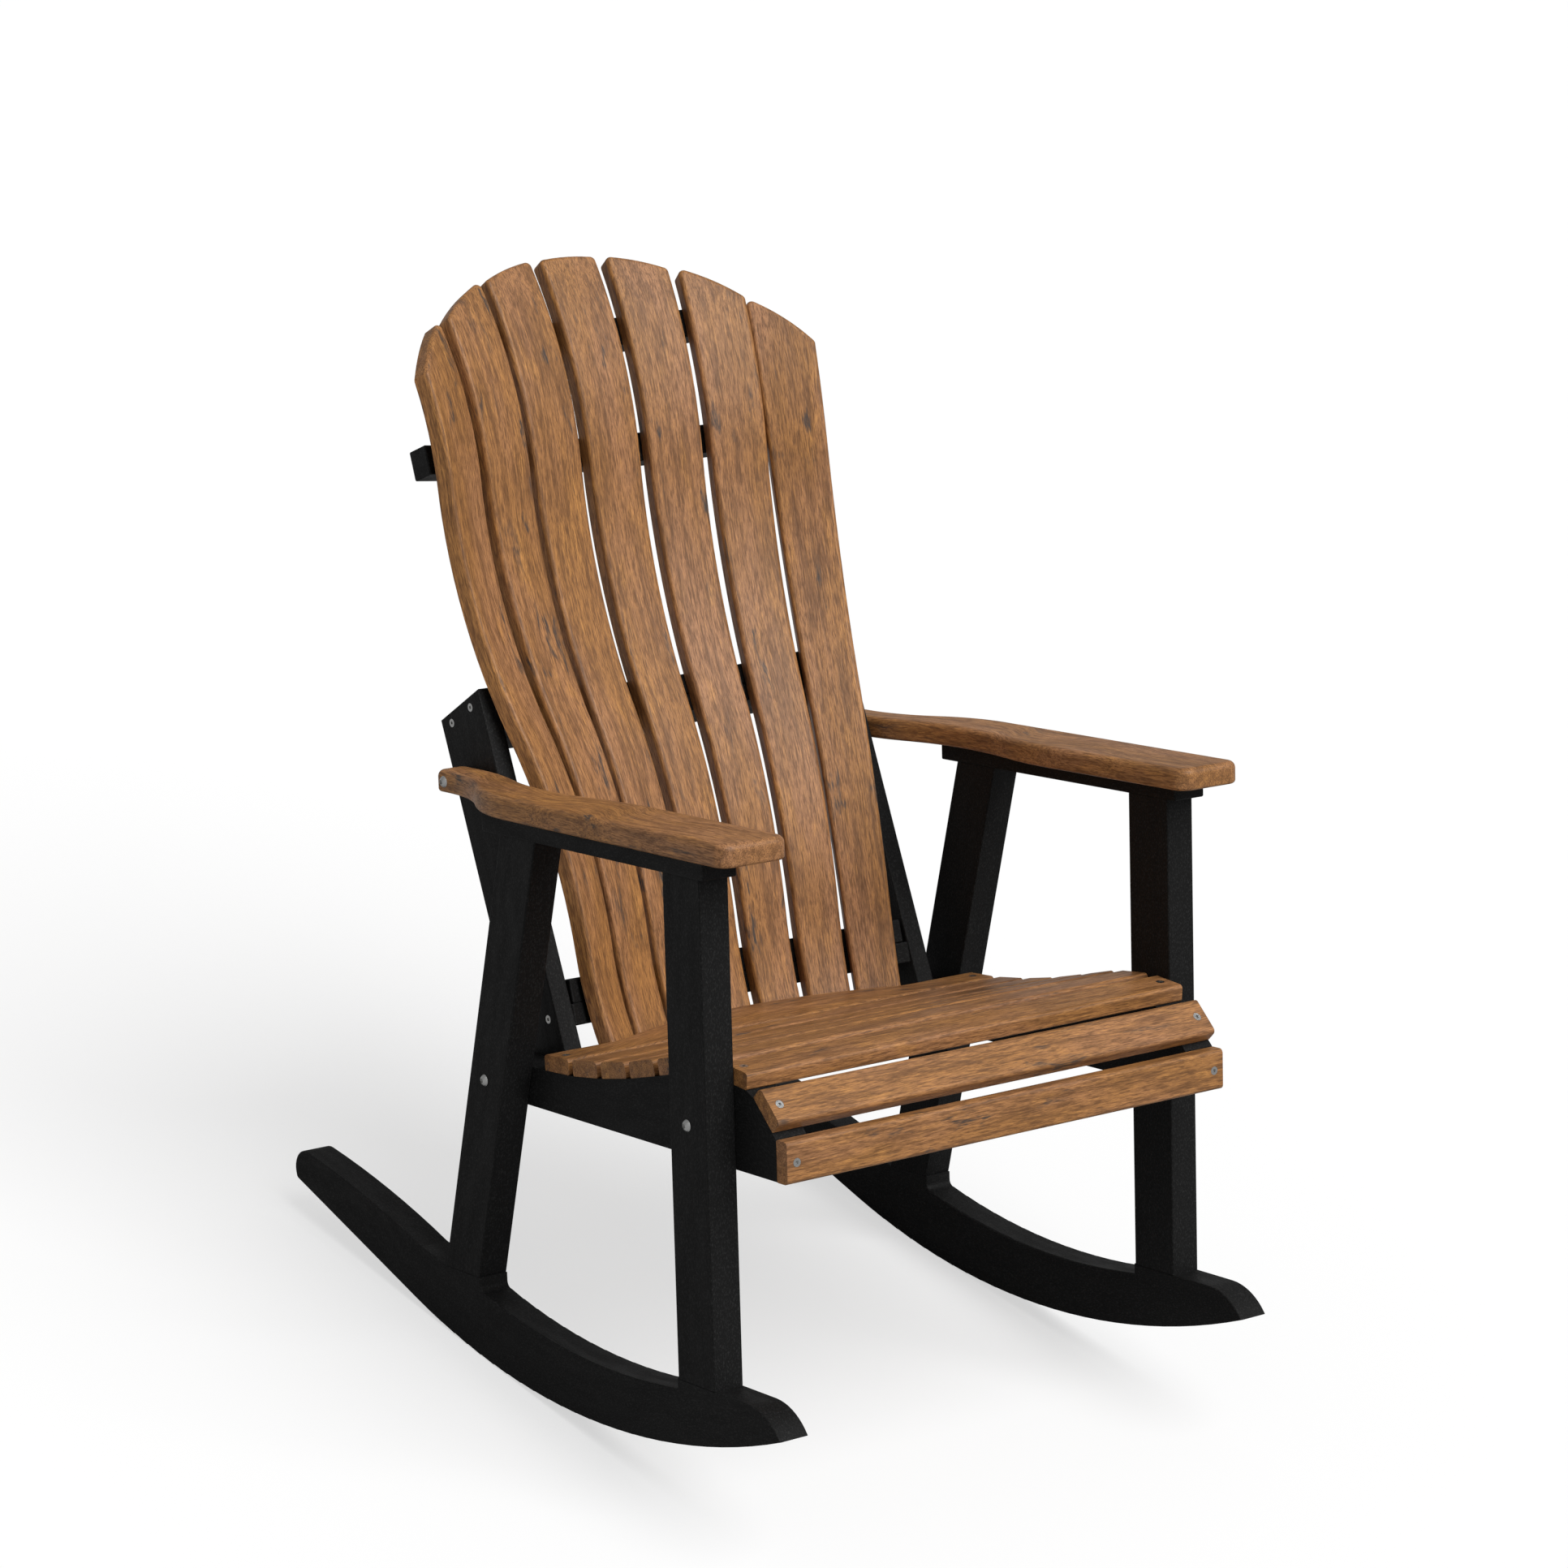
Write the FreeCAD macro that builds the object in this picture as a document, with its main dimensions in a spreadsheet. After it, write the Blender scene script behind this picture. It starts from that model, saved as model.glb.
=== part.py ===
import FreeCAD, Part
import math
import os
import Sketcher

# Rocking adirondack chair in millimetres.
# The pieces are drawn in the level frame: +X is the sitter's left, +Y is the back, Z is up,
# the seat rails and the arms are level, and the rockers' lowest point is at height 0.
# Stance then rolls the whole chair back on its rockers to where it comes to rest when empty.

SIZES = (
    ("stance_lean", 12.5, "how far the empty chair rolls back from level, degrees"),
    ("stance_shift", -75.385, "moves the standing chair so that its outline is centred on the origin"),

    ("leg_gap", 614, "clear width between the legs"),
    ("leg_thickness", 38, "thickness of the legs and the rockers"),
    ("leg_depth", 66, "width of a leg seen from the side"),
    ("leg_top", 640, "height of the tops of the legs"),
    ("front_leg_front", -370.5, "front face of the front legs"),
    ("rear_leg_heel", 148, "rear corner of a rear leg on its rocker"),
    ("rear_leg_lean", 15.7, "forward lean of the rear legs, degrees"),

    ("sole_radius", 1030, "radius of the curved sole"),
    ("sole_low", -139.6, "where the level sole touches the floor"),
    ("sole_toe", -483, "front tip of the rocker"),
    ("sole_bend", 216, "where the curved sole turns into its straight tail"),
    ("tail_back", 474, "rear end of the straight tail"),
    ("tail_tip_back", 485, "rearmost corner of the rocker before rounding"),
    ("tail_tip_top", 200, "top corner of the rocker's tail before rounding"),
    ("tail_rounding", 24, "rounding of the tail's top corner"),
    ("tail_sole_rounding", 6, "rounding of the tail's bottom corner"),
    ("tail_top_radius", 1560, "radius of the tail's crowned top"),
    ("front_pad_height", 87.3, "height of the rocker under the front leg"),
    ("rear_pad_height", 117.3, "height of the rocker under the rear leg"),
    ("pad_margin", 2, "how far a pad reaches past its leg towards the middle"),
    ("pad_step", 18, "drop from the rear pad to the waist"),
    ("step_rounding", 8, "hollow rounding at the foot of the rear pad"),
    ("front_step", 12, "drop from the front pad to the waist"),
    ("waist_radius", 950, "radius of the rocker's hollow top"),
    ("nose_length", 53, "length of the rounded nose"),
    ("nose_radius", 65, "radius of the rounded nose"),
    ("tail_rise_back", 53, "length of the first rise behind the rear leg"),
    ("tail_rise_height", 11, "height of the first rise behind the rear leg"),

    ("seat_rail_thickness", 40, "thickness of a seat side rail"),
    ("seat_rail_drop", 46.2, "how far the seat side rails reach below the rear slat"),
    ("seat_rail_rear", 72, "rear end of the seat side rails"),
    ("seat_rear", -14, "rear edge of the rearmost seat slat"),
    ("seat_rear_height", 368.5, "height of the underside of that edge"),
    ("seat_bulge", 52, "how far the rear slat bulges back in the middle"),
    ("seat_bulge_half", 205, "half the width of that bulge"),
    ("seat_bulge_rounding", 30, "rounding where the bulge starts"),
    ("seat_slat_width", 47, "width of a seat slat"),
    ("seat_slat_thickness", 18.5, "thickness of a seat slat"),
    ("seat_slat_gap", 8.8, "gap between seat slats"),
    ("seat_slat_inset", 0.5, "gap between a slat's end and the leg"),
    ("seat_tilt_one", 2.5, "rise of the rearmost slat towards the front, degrees"),
    ("seat_tilt_two", 7, "rise of the second slat, degrees"),
    ("seat_tilt_three", 10, "rise of the third slat, degrees"),
    ("seat_tilt_four", 13, "rise of the fourth slat, degrees"),
    ("seat_tilt_five", 13.5, "rise of the fifth slat, degrees"),
    ("seat_tilt_six", 5, "rise of the sixth slat, degrees"),
    ("seat_tilt_seven", -6, "rise of the front slat, degrees"),
    ("nosing_gap", 12.4, "gap between the front slat and the nosing"),
    ("nosing_tilt", -45.5, "rise of the nosing, degrees"),
    ("nosing_width", 46, "width of the nosing"),
    ("nosing_thickness", 17.5, "thickness of the nosing"),
    ("apron_back", 5.6, "how far the apron's back lies in front of the nosing's lower edge"),
    ("apron_height", 46, "height of the apron"),
    ("apron_thickness", 18, "thickness of the apron"),

    ("upright_thickness", 24, "thickness of a back upright"),
    ("upright_depth", 90, "width of a back upright seen from the side"),
    ("upright_lean", 20.8, "backward lean of the uprights, degrees"),
    ("upright_front_top", 155, "front corner of an upright's top, towards the back"),
    ("upright_top", 776.3, "height of that corner"),
    ("upright_cut", 29.3, "slope of the top of the uprights, degrees"),

    ("arm_rail_thickness", 20.5, "height of the rail under the arm"),
    ("arm_rail_width", 44, "width of the rail under the arm"),
    ("arm_rail_overhang", 14, "how far the arm rail reaches in front of the front leg"),
    ("arm_rail_tail", 28, "how far the arm rail reaches behind the rear leg"),
    ("arm_rail_inset", 1, "how far the arm rail reaches inside the leg"),
    ("arm_thickness", 25.4, "thickness of an armrest"),
    ("arm_front", -435, "front end of the armrests"),
    ("arm_rear", 187, "rear end of the armrests"),
    ("arm_tail_width", 41, "width of an armrest beside the upright"),
    ("arm_tail_flat", 40, "length of the armrest's straight inner face at the upright"),
    ("arm_waist_inner", 292, "innermost distance of the armrest's inner edge at its swell"),
    ("arm_waist_back", -22, "where the swell of the inner edge is"),
    ("arm_front_inner", 272.5, "inner edge of the wide part of the armrest"),
    ("arm_front_inner_back", -205, "where the wide part of the inner edge starts"),
    ("arm_front_outer", 361, "outer edge of the armrest"),
    ("arm_flare_start", 161, "where the outer edge starts to flare"),
    ("arm_flare_end", -30, "where the flare ends"),
    ("arm_corner_radius", 17, "rounding of the armrest's front corners"),
    ("arm_tail_rounding", 10, "rounding of the armrest's rear corners"),
    ("arm_edge_rounding", 8, "rounding of the armrest's top edges"),
    ("arm_bottom_rounding", 4, "rounding of the armrest's bottom edges"),

    ("back_slat_thickness", 19.6, "thickness of a back slat"),
    ("back_slat_foot_half", 27, "half width of a back slat at its foot"),
    ("back_slat_crown_half", 39.5, "half width of a back slat at the top"),
    ("back_foot", 40.9, "front face of the middle slat at its foot"),
    ("back_foot_rise", 1.5, "height of the back slats' foot above the seat's rear edge"),
    ("back_foot_lean", 22.8, "lean of the slat at its foot, degrees"),
    ("back_waist_lean", 9.8, "lean of the slat at the lumbar, degrees"),
    ("back_shoulder_lean", 27.9, "lean of the slat at the arms, degrees"),
    ("back_neck_lean", 7.0, "lean of the slat below the headrest, degrees"),
    ("back_foot_radius", 512.8, "bend radius of the foot"),
    ("back_waist_radius", 831, "bend radius of the lumbar"),
    ("back_shoulder_radius", 796.8, "bend radius of the shoulder"),
    ("back_neck_radius", 563.1, "bend radius of the headrest"),
    ("crown_height", 1246.8, "height of the top of the middle slat"),
    ("crown_radius", 332, "radius of the arched top of the back"),
    ("back_slat_corner", 7, "rounding of the top corners of a back slat"),
    ("back_slat_front_rounding", 5, "rounding of a back slat's front edges"),
    ("trim_margin", 6, "how far the saw cuts of a back slat reach past its edges"),
    ("fan_pivot_back", 169.8, "point that the slats fan around, towards the back"),
    ("fan_pivot_height", 753.8, "height of that point"),
    ("fan_side_one", 77.8, "sideways place of the slats next to the middle one"),
    ("fan_side_two", 151.2, "sideways place of the next slats"),
    ("fan_side_three", 218.5, "sideways place of the outer slats"),
    ("fan_ahead_one", 5.0, "how far the slats next to the middle stand forward"),
    ("fan_ahead_two", 21.6, "how far the next slats stand forward"),
    ("fan_ahead_three", 42.0, "how far the outer slats stand forward"),
    ("fan_turn_one", 7.1, "inward turn of the slats next to the middle, degrees"),
    ("fan_turn_two", 14.1, "inward turn of the next slats, degrees"),
    ("fan_turn_three", 28, "inward turn of the outer slats, degrees"),
    ("fan_roll_one", 0.6, "inward lean of the slats next to the middle, degrees"),
    ("fan_roll_two", 1.1, "inward lean of the next slats, degrees"),
    ("fan_roll_three", 4.2, "inward lean of the outer slats, degrees"),

    ("top_rail_drop", 76.5, "how far the top back rail lies below the crown"),
    ("top_rail_lean", 22.4, "backward lean of the top back rail, degrees"),
    ("top_rail_half", 175, "half the length of the top back rail"),
    ("top_rail_depth", 32, "depth of the top back rail"),
    ("upper_rail_height", 1035.8, "height of the front top edge of the upper back rail"),
    ("upper_rail_lean", 18, "backward lean of the upper back rail, degrees"),
    ("upper_rail_half", 275, "half the length of the upper back rail"),
    ("upper_rail_depth", 35, "depth of the upper back rail"),
    ("slim_rail_tall", 34.5, "height of the top and upper back rails"),
    ("middle_board_height", 754.3, "height of the front top edge of the middle back board"),
    ("middle_board_tall", 25, "height of the middle back board"),
    ("middle_strip_tall", 21, "height of the strip under the middle back board"),
    ("lower_strip_height", 441, "height of the front top edge of the lower back strip"),
    ("lower_board_lean", 14.4, "backward lean of the lower back board, degrees"),
    ("lower_board_tall", 25, "height of the lower back board"),
    ("lower_strip_tall", 28, "height of the strip on the lower back board"),
    ("middle_board_end_depth", 82.5, "depth of the middle back board and strip at their ends"),
    ("lower_board_end_depth", 77, "depth of the lower back board and strip at their ends"),
    ("middle_board_depth", 48, "depth of the middle back board and strip in the middle"),
    ("lower_board_depth", 45, "depth of the lower back board and strip in the middle"),
    ("strip_end_gap", 4, "gap between a strip's end and the upright"),
    ("top_rail_radius", 760, "front radius of the top back rail"),
    ("upper_rail_radius", 840, "front radius of the upper back rail"),
    ("middle_board_radius", 780, "front radius of the middle back board"),
    ("middle_strip_radius", 775, "front radius of the strip under the middle back board"),
    ("lower_board_radius", 525, "front radius of the lower back board"),
    ("lower_strip_radius", 530, "front radius of the strip on the lower back board"),
    ("top_rail_gap", 1.73, "gap between the top back rail and the middle slat"),
    ("upper_rail_gap", 6.5, "gap between the upper back rail and the middle slat"),
    ("middle_board_gap", 2.6, "gap between the middle back board and the middle slat"),
    ("middle_strip_shift", 0.7, "how far the middle strip stands behind its board"),
    ("lower_strip_gap", 1.2, "gap between the lower back strip and the middle slat"),
    ("lower_board_shift", -0.35, "how far the lower board stands behind its strip"),

    ("lumber_rounding", 2, "rounding of the black boards' long edges"),
    ("slat_top_rounding", 5, "rounding of the top edges of the seat slats"),
    ("slat_bottom_rounding", 2, "rounding of the bottom edges of the seat slats"),

    ("screw_radius", 2.3, "radius of a screw's shank"),
    ("screw_head_radius", 4.8, "radius of a screw's head"),
    ("screw_head_height", 3.2, "height of a screw's tapered head"),
    ("screw_length", 50, "length of a deck screw"),
    ("back_screw_length", 42, "length of the screws through the back rails and the uprights"),
    ("short_screw_length", 35, "length of the screws of the strips and the arms"),
    ("rocker_screw_length", 100, "length of the screws from the rockers into the legs"),
    ("screw_bite", 13, "how deep a hidden screw enters a slat"),
    ("rocker_screw_bite", 40, "how deep a rocker screw enters the leg"),
    ("screw_slack", 0.2, "clearance around a screw"),
    ("socket_side", 3.4, "side of the square drive in a screw's head"),
    ("socket_depth", 2.2, "depth of the square drive"),
    ("counterbore", 90, "length of the tool's way to a sunk screw head"),
    ("seat_screw_side", 293.5, "sideways place of the seat screws"),
    ("outer_screw_inset", 16, "how far inwards the screws of the outer back slats sit"),
    ("upright_screw_front", 18, "place of the front upright screw behind the board's end corner"),
    ("upright_screw_rear", 63.5, "place of the rear upright screw behind the board's end corner"),
    ("strip_screw_near", 104, "sideways place of the inner strip screws"),
    ("strip_screw_far", 172, "sideways place of the outer strip screws"),
    ("strip_screw_back", 20, "how far the strip screws lie behind the front edge"),
    ("leg_screw_spread", 16, "distance of a leg's screws from its middle"),
    ("arm_screw_front", -270, "place of the foremost screw under an armrest"),
    ("arm_screw_step", 84, "distance between the screws under an armrest"),
    ("bolt_radius", 4, "radius of a bolt's shank"),
    ("bolt_head_radius", 6.8, "radius of a bolt's domed head"),
    ("bolt_head_height", 4.2, "height of a bolt's domed head"),
    ("hex_socket_radius", 2.9, "corner radius of the hexagon socket"),
    ("hex_socket_depth", 2.4, "depth of the hexagon socket"),
    ("bolt_slack", 0.3, "clearance around a bolt"),
    ("bolt_end", 9.5, "how far a bolt reaches past the last face"),
    ("nut_radius", 7.5, "corner radius of a nut"),
    ("nut_height", 6.8, "height of a nut"),
    ("front_bolt_back", -335, "place of the front leg bolts"),
    ("front_bolt_rise", 48.7, "height of the front leg bolts above the seat rail's underside"),
    ("rear_bolt_back", 52, "place of the rear leg bolts"),
    ("rear_bolt_rise", 29.7, "height of the rear leg bolts above the seat rail's underside"),
    ("arm_bolt_inset", 18, "distance of the arm bolt from the armrest's rear end"),
)


class Size:
    """A number together with the sheet expression that gives it."""

    def __init__(self, text, value):
        self.text = text
        self.value = value

    def joined(self, sign, other, value):
        return Size("(%s %s %s)" % (self.text, sign, other.text), value)

    def __add__(self, other):
        other = as_size(other)
        return self.joined("+", other, self.value + other.value)

    def __sub__(self, other):
        other = as_size(other)
        return self.joined("-", other, self.value - other.value)

    def __mul__(self, other):
        other = as_size(other)
        return self.joined("*", other, self.value * other.value)

    def __truediv__(self, other):
        other = as_size(other)
        return self.joined("/", other, self.value / other.value)

    def __radd__(self, other):
        return as_size(other) + self

    def __rsub__(self, other):
        return as_size(other) - self

    def __rmul__(self, other):
        return as_size(other) * self

    def __neg__(self):
        return as_size(-1) * self


def as_size(number):
    if isinstance(number, Size):
        return number
    return Size("(%.10g)" % number, float(number))


def sine(angle):
    return Size("sin(%s)" % angle.text, math.sin(math.radians(angle.value)))


def cosine(angle):
    return Size("cos(%s)" % angle.text, math.cos(math.radians(angle.value)))


def tangent(angle):
    return Size("tan(%s)" % angle.text, math.tan(math.radians(angle.value)))


def root(number):
    return Size("sqrt(%s)" % number.text, math.sqrt(number.value))


def angle_of_sine(number):
    return Size("asin(%s)" % number.text, math.degrees(math.asin(number.value)))


doc = FreeCAD.newDocument("rocking_adirondack_chair")
sheet = doc.addObject("Spreadsheet::Sheet", "Sizes")
size = {}
for row, (alias, number, meaning) in enumerate(SIZES, start=1):
    sheet.set("A%d" % row, str(number))
    sheet.setAlias("A%d" % row, alias)
    sheet.set("B%d" % row, meaning)
    size[alias] = Size("Sizes." + alias, float(number))
doc.recompute()

ZERO = as_size(0)
RIGHT_ANGLE = as_size(90)
HALF_TURN = as_size(180)
SIDES = (("left", as_size(1)), ("right", as_size(-1)))
nodes = []


# Places


def turn(axis, angle):
    """Text of a rotation about a named axis."""
    axes = {"x": "vector(1; 0; 0)", "y": "vector(0; 1; 0)", "z": "vector(0; 0; 1)"}
    return "rotation(%s; %s)" % (axes[axis], as_size(angle).text)


def place(x, y, z, rotation=None):
    """Text of a placement at a point of the level frame."""
    point = "vector(%s; %s; %s)" % (as_size(x).text, as_size(y).text, as_size(z).text)
    return "placement(%s; %s)" % (point, rotation or turn("x", 0))


def make_stance():
    """The placement that takes the level chair to its standing pose on the floor."""
    lean = size["stance_lean"]
    low = size["sole_low"]
    radius = size["sole_radius"]
    lift = radius - (radius * cosine(lean) - low * sine(lean))
    stance = doc.addObject("App::Placement", "Stance")
    stance.setExpression("Placement", place(0, size["stance_shift"], lift, turn("x", -lean)))
    return stance


# Drawing


def origin_plane(body, role):
    for feature in body.Origin.OriginFeatures:
        if feature.Role == role:
            return feature
    raise ValueError("no plane " + role)


def new_sketch(body, name, role):
    sketch = body.newObject("Sketcher::SketchObject", name)
    sketch.AttachmentSupport = [(origin_plane(body, role), "")]
    sketch.MapMode = "FlatFace"
    return sketch


def arc_between(start, end, radius, side):
    """A minor arc whose centre lies to the left (1) or right (-1) of the way from start to end."""
    middle = (start + end) * 0.5
    way = end - start
    reach = math.sqrt(radius ** 2 - (way.Length / 2) ** 2)
    to_centre = FreeCAD.Vector(-way.y, way.x, 0).normalize() * side * reach
    centre = middle + to_centre
    first, last = (start, end) if side > 0 else (end, start)
    first_angle = math.atan2(first.y - centre.y, first.x - centre.x)
    last_angle = math.atan2(last.y - centre.y, last.x - centre.x)
    circle = Part.Circle(centre, FreeCAD.Vector(0, 0, 1), radius)
    return Part.ArcOfCircle(circle, first_angle, last_angle)


def add_outline(sketch, corners, bends=None):
    """A closed outline through corners; bends gives an edge's radius and its centre's side."""
    bends = bends or {}
    count = len(corners)
    points = [FreeCAD.Vector(u.value, v.value, 0) for u, v in corners]
    start_of = {}
    end_of = {}
    first = sketch.GeometryCount
    for index in range(count):
        start = points[index]
        end = points[(index + 1) % count]
        if index in bends:
            radius, side = bends[index]
            sketch.addGeometry(arc_between(start, end, radius.value, side), False)
            start_of[index] = 1 if side > 0 else 2
            end_of[index] = 3 - start_of[index]
        else:
            sketch.addGeometry(Part.LineSegment(start, end), False)
            start_of[index] = 1
            end_of[index] = 2
    for index in range(count):
        following = (index + 1) % count
        sketch.addConstraint(Sketcher.Constraint(
            "Coincident", first + index, end_of[index], first + following, start_of[following]))
    for index, (u, v) in enumerate(corners):
        for kind, distance in (("DistanceX", u), ("DistanceY", v)):
            number = sketch.addConstraint(Sketcher.Constraint(
                kind, -1, 1, first + index, start_of[index], distance.value))
            sketch.setExpression("Constraints[%d]" % number, distance.text)
        if index in bends:
            radius = bends[index][0]
            number = sketch.addConstraint(
                Sketcher.Constraint("Radius", first + index, radius.value))
            sketch.setExpression("Constraints[%d]" % number, radius.text)


def new_body(name):
    return doc.addObject("PartDesign::Body", name + "_body")


def padded(body, sketch, length, side_type="Symmetric", reverse=False):
    pad = body.newObject("PartDesign::Pad", body.Name + "_pad")
    pad.Profile = sketch
    pad.SideType = side_type
    pad.Reversed = reverse
    pad.setExpression("Length", length.text)
    doc.recompute()
    return pad


def trimmed(body, sketch):
    """Cuts a sketch's outline right through the body."""
    pocket = body.newObject("PartDesign::Pocket", sketch.Name + "_trim")
    pocket.Profile = sketch
    pocket.Type = "ThroughAll"
    pocket.SideType = "Symmetric"
    doc.recompute()
    return pocket


def rounded(body, feature, chosen, radius):
    """Rounds those edges of a feature that the test chosen(edge, shape) picks."""
    shape = feature.Shape
    picked = ["Edge%d" % (number + 1) for number, edge in enumerate(shape.Edges)
              if chosen(edge, shape)]
    fillet = body.newObject("PartDesign::Fillet", feature.Name + "_rounding")
    fillet.Base = (feature, picked)
    fillet.setExpression("Radius", radius.text)
    doc.recompute()
    return fillet


def along_x(edge, shape):
    ends = [vertex.Point for vertex in edge.Vertexes]
    return len(ends) == 2 and abs(abs((ends[1] - ends[0]).x) - edge.Length) < 1e-6


def along_x_above(height):
    return lambda edge, shape: along_x(edge, shape) and edge.CenterOfMass.z > height


def along_x_below(height):
    return lambda edge, shape: along_x(edge, shape) and edge.CenterOfMass.z < height


def near(u, v, reach=1.0):
    """Picks the edges along x that pass a point of the side view."""
    def chosen(edge, shape):
        middle = edge.CenterOfMass
        return along_x(edge, shape) and math.hypot(middle.y - u, middle.z - v) < reach
    return chosen


def on_end_faces(edge, shape):
    """Picks the outline edges of the two faces square to x."""
    box = shape.BoundBox
    edge_box = edge.BoundBox
    flat = edge_box.XLength < 1e-6
    return flat and min(abs(edge_box.XMax - box.XMax), abs(edge_box.XMin - box.XMin)) < 1e-6


# Fasteners
# A fastener stands on its own z axis with the head up; the origin is on the surface it seats on.


def cylinder(name, radius, height, base):
    shape = doc.addObject("Part::Cylinder", name)
    shape.setExpression("Radius", radius.text)
    shape.setExpression("Height", height.text)
    shape.setExpression("Placement", place(0, 0, base))
    return shape


def cone(name, low_radius, high_radius, height, base):
    shape = doc.addObject("Part::Cone", name)
    shape.setExpression("Radius1", low_radius.text)
    shape.setExpression("Radius2", high_radius.text)
    shape.setExpression("Height", height.text)
    shape.setExpression("Placement", place(0, 0, base))
    return shape


def fused(name, shapes):
    union = doc.addObject("Part::MultiFuse", name)
    union.Shapes = shapes
    return union


def cut(name, base, tool):
    result = doc.addObject("Part::Cut", name)
    result.Base = base
    result.Tool = tool
    return result


def make_screw(name, length):
    """A countersunk deck screw with a square drive, and the hole that it sits in."""
    radius = size["screw_radius"]
    head = size["screw_head_radius"]
    tall = size["screw_head_height"]
    slack = size["screw_slack"]
    shank = cylinder(name + "_shank", radius, length, -length)
    taper = cone(name + "_taper", radius, head, tall, -tall)
    blank = fused(name + "_blank", [shank, taper])
    socket = doc.addObject("Part::Box", name + "_socket")
    side = size["socket_side"]
    for edge in ("Length", "Width"):
        socket.setExpression(edge, side.text)
    socket.setExpression("Height", size["socket_depth"].text)
    socket.setExpression("Placement", place(-side / 2, -side / 2, -size["socket_depth"]))
    screw = cut(name, blank, socket)
    bore = cylinder(name + "_bore", radius + slack, length + slack, -length - slack)
    seat = cone(name + "_seat", radius + slack, head + slack, tall, -tall)
    access = cylinder(name + "_access", head + slack, size["counterbore"], ZERO)
    return screw, fused(name + "_hole", [bore, seat, access])


def make_bolt(name, grip):
    """A domed bolt with a hexagon socket, its nut and the hole that it sits in."""
    radius = size["bolt_radius"]
    head = size["bolt_head_radius"]
    tall = size["bolt_head_height"]
    slack = size["bolt_slack"]
    length = grip + size["bolt_end"]
    shank = cylinder(name + "_shank", radius, length, -length)
    dome_radius = (head * head + tall * tall) / (2 * tall)
    ball = doc.addObject("Part::Sphere", name + "_ball")
    ball.setExpression("Radius", dome_radius.text)
    ball.setExpression("Placement", place(0, 0, tall - dome_radius))
    drum = cylinder(name + "_drum", head, tall, ZERO)
    dome = doc.addObject("Part::Common", name + "_dome")
    dome.Base = ball
    dome.Tool = drum
    blank = fused(name + "_blank", [shank, dome])
    socket = doc.addObject("Part::Prism", name + "_socket")
    socket.Polygon = 6
    socket.setExpression("Circumradius", size["hex_socket_radius"].text)
    socket.setExpression("Height", (2 * size["hex_socket_depth"]).text)
    socket.setExpression("Placement", place(0, 0, tall - size["hex_socket_depth"]))
    bolt = cut(name, blank, socket)
    nut_blank = doc.addObject("Part::Prism", name + "_nut_blank")
    nut_blank.Polygon = 6
    nut_blank.setExpression("Circumradius", size["nut_radius"].text)
    nut_blank.setExpression("Height", size["nut_height"].text)
    nut_blank.setExpression("Placement", place(0, 0, -grip - size["nut_height"]))
    thread = cylinder(name + "_thread", radius + slack / 3, 2 * length, -2 * length)
    nut = cut(name + "_nut", nut_blank, thread)
    bore = cylinder(name + "_bore", radius + slack, 2 * length, -2 * length + tall)
    hole = doc.addObject("Part::Compound", name + "_hole")
    hole.Links = [bore]
    return bolt, nut, hole


def copies(name, master, spots):
    """A compound of a master solid repeated at each placement text."""
    links = []
    for number, spot in enumerate(spots, start=1):
        link = doc.addObject("App::Link", "%s_%d" % (name, number))
        link.LinkedObject = master
        link.LinkTransform = False
        link.setExpression("Placement", spot)
        links.append(link)
    group = doc.addObject("Part::Compound", name)
    group.Links = links
    return group


def finish(label, shape, spot=None, holes=()):
    """Names a sub-part, drills its holes and takes it to its standing pose."""
    if holes:
        shape.setExpression("Placement", spot or place(0, 0, 0))
        tool = holes[0] if len(holes) == 1 else doc.addObject("Part::Compound", label + "_holes")
        if len(holes) > 1:
            tool.Links = list(holes)
        shape = cut(label, shape, tool)
        spot = None
    expression = "Stance.Placement"
    if spot:
        expression = "Stance.Placement * " + spot
    shape.setExpression("Placement", expression)
    shape.Label = label
    nodes.append(shape)


# Shared lines of the level frame

leg_inner = size["leg_gap"] / 2
leg_outer = leg_inner + size["leg_thickness"]
leg_middle = leg_inner + size["leg_thickness"] / 2
seat_rail_inner = leg_inner - size["seat_rail_thickness"]
seat_rail_middle = leg_inner - size["seat_rail_thickness"] / 2
upright_inner = seat_rail_inner - size["upright_thickness"]
upright_middle = seat_rail_inner - size["upright_thickness"] / 2
slat_length = size["leg_gap"] - 2 * size["seat_slat_inset"]
front_leg_rear = size["front_leg_front"] + size["leg_depth"]
rear_leg_slope = tangent(size["rear_leg_lean"])
rear_leg_level_depth = size["leg_depth"] / cosine(size["rear_leg_lean"])
rear_leg_toe = size["rear_leg_heel"] - rear_leg_level_depth
arm_rail_top = size["leg_top"] + size["arm_rail_thickness"]
seat_rail_bottom = size["seat_rear_height"] - size["seat_rail_drop"]
rail_heights = {
    "top": size["crown_height"] - size["top_rail_drop"],
    "upper": size["upper_rail_height"],
    "middle_board": size["middle_board_height"],
    "lower_board": size["lower_strip_height"],
}
back_foot_height = size["seat_rear_height"] + size["back_foot_rise"]
SEAT_TILTS = ("one", "two", "three", "four", "five", "six", "seven")


def rear_leg_front_at(height):
    return rear_leg_toe - (height - size["rear_pad_height"]) * rear_leg_slope


def rear_leg_rear_at(height):
    return rear_leg_front_at(height) + rear_leg_level_depth


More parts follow.
